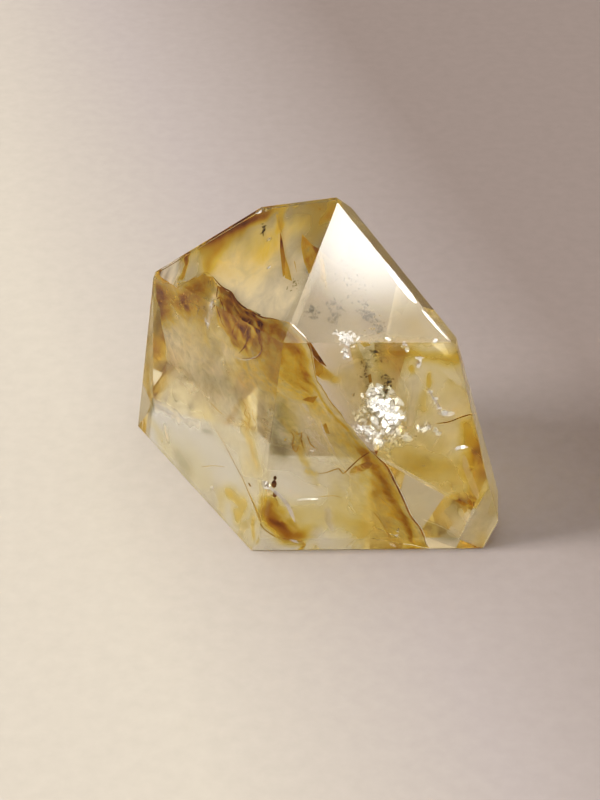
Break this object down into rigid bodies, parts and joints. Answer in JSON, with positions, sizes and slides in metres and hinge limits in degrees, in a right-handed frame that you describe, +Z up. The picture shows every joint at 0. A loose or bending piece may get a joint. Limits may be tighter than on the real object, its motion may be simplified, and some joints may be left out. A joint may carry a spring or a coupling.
{
  "type": "fire quartz freeform",
  "caption": "Polished clear quartz freeform with flat ground facets and a flat base, stained inside with golden iron oxide; a display stone that stands on a shelf or desk.",
  "frame": {"origin": "middle of the stone's bounding box, on the plane of its flat base", "axes": "+Z up out of the base, +X along the stone's longest extent, +Y from its front facet towards its back"},
  "size_m": [0.08, 0.0574, 0.07],
  "materials": {
    "clear_quartz": "polished, clear with golden and brown iron oxide inclusions"
  },
  "bodies": {
    "root": {"quartz_freeform": "clear_quartz"}
  },
  "joints": []
}
